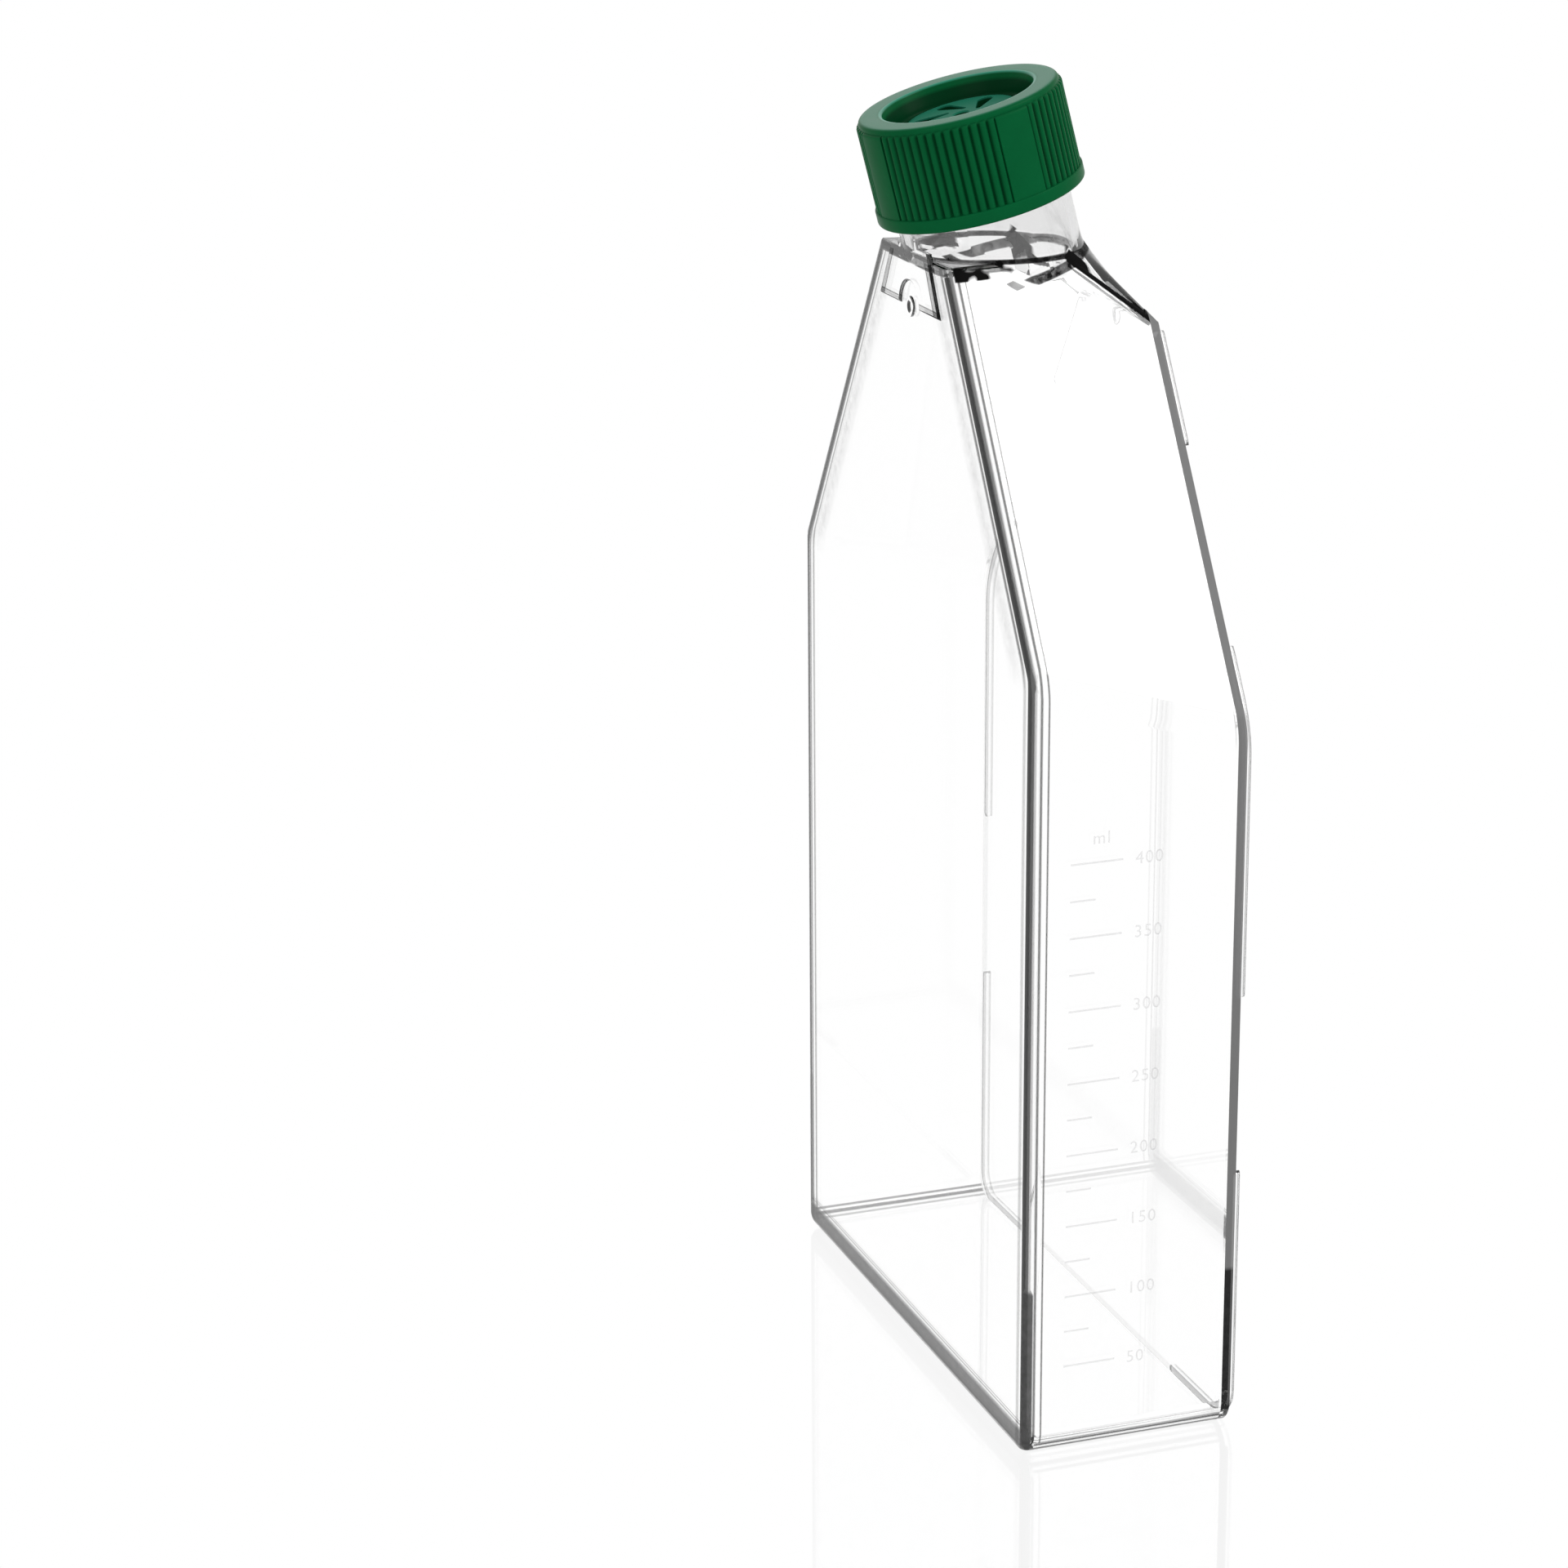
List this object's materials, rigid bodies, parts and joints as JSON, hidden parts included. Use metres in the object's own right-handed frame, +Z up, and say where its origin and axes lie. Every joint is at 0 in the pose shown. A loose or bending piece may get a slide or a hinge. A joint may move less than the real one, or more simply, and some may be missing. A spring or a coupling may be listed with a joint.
{
  "type": "cell culture flask",
  "caption": "Clear upright flask with a broad flat growth side, tapered shoulders, a graduated side wall and a vented screw cap on a canted neck.",
  "frame": {"origin": "centre of the base end, midway between the top wall and the growth plate", "axes": "+Z up from the base end to the cap, +X from the top wall to the growth plate, the graduated side wall faces -Y"},
  "size_m": [0.0491, 0.1118, 0.2319],
  "materials": {
    "vessel": "clear polished polystyrene",
    "plate": "clear polished polystyrene",
    "cap": "satin moulded polyethylene",
    "membrane": "plain filter membrane"
  },
  "bodies": {
    "flask": {"flask_body": "vessel", "growth_plate": "plate"},
    "lift": {"vent_membrane": "membrane"},
    "closure": {"cap": "cap"}
  },
  "joints": [
    {"name": "cap_travel", "type": "slide", "parent": "flask", "child": "lift", "axis": [-0.2521, 0, 0.9677], "range_m": [0, 0.01626]},
    {"name": "cap_turn", "type": "hinge", "parent": "lift", "child": "closure", "pos_m": [-0.00673, 0, 0.21001], "axis": [-0.2521, 0, 0.9677], "range_deg": [0, 1170]}
  ],
  "couplings": [
    {"joint": "cap_travel", "follows": "cap_turn", "m_per_rad": 0.00079577}
  ]
}
